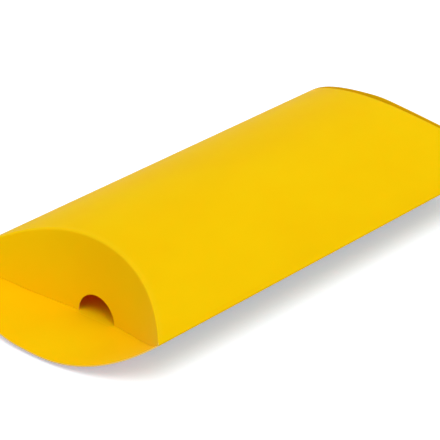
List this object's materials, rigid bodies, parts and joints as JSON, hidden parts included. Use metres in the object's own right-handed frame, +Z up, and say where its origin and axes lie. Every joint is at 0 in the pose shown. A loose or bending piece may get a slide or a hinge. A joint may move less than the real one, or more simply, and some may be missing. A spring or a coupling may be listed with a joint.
{
  "type": "pillow box",
  "caption": "Lens-shaped folding card box with bowed panels, curved end creases, hinged end flaps with a thumb notch and a glued side seam.",
  "frame": {"origin": "on the table, in the middle of the flat strip under the belly", "axes": "+X along the box to its rear end, +Y across it to the glued seam, +Z up"},
  "size_m": [0.2365, 0.1087, 0.0377],
  "materials": {
    "card": "dyed yellow card, matt with a faint sheen",
    "scored_card": "dyed yellow card, pressed and bent along a score",
    "adhesive": "dried dispersion glue, dull and cloudy"
  },
  "bodies": {
    "sleeve": {"top_panel": "card", "bottom_panel": "card", "side_fold": "scored_card", "glue_fold": "scored_card", "glue_flap": "card", "glue_strip": "adhesive", "front_top_crease": "scored_card", "front_bottom_crease": "scored_card", "rear_top_crease": "scored_card", "rear_bottom_crease": "scored_card"},
    "front_top_flap": {"front_top_flap": "card"},
    "front_bottom_flap": {"front_bottom_flap": "card"},
    "rear_top_flap": {"rear_top_flap": "card"},
    "rear_bottom_flap": {"rear_bottom_flap": "card"}
  },
  "joints": [
    {"name": "front_top_flap_hinge", "type": "hinge", "parent": "sleeve", "child": "front_top_flap", "pos_m": [-0.0896, 0, 0.0375], "axis": [0, 1, 0], "range_deg": [0, 90], "deforming": ["front_top_crease"]},
    {"name": "front_bottom_flap_hinge", "type": "hinge", "parent": "sleeve", "child": "front_bottom_flap", "pos_m": [-0.089, 0, 0.00025], "axis": [0, -1, 0], "range_deg": [-82, 3], "deforming": ["front_bottom_crease", "front_bottom_flap"]},
    {"name": "rear_top_flap_hinge", "type": "hinge", "parent": "sleeve", "child": "rear_top_flap", "pos_m": [0.0896, 0, 0.0375], "axis": [0, -1, 0], "range_deg": [0, 90], "deforming": ["rear_top_crease", "rear_top_flap"]},
    {"name": "rear_bottom_flap_hinge", "type": "hinge", "parent": "sleeve", "child": "rear_bottom_flap", "pos_m": [0.089, 0, 0.00055], "axis": [0, 1, 0], "range_deg": [0, 85], "deforming": ["rear_bottom_crease", "rear_bottom_flap"]}
  ]
}
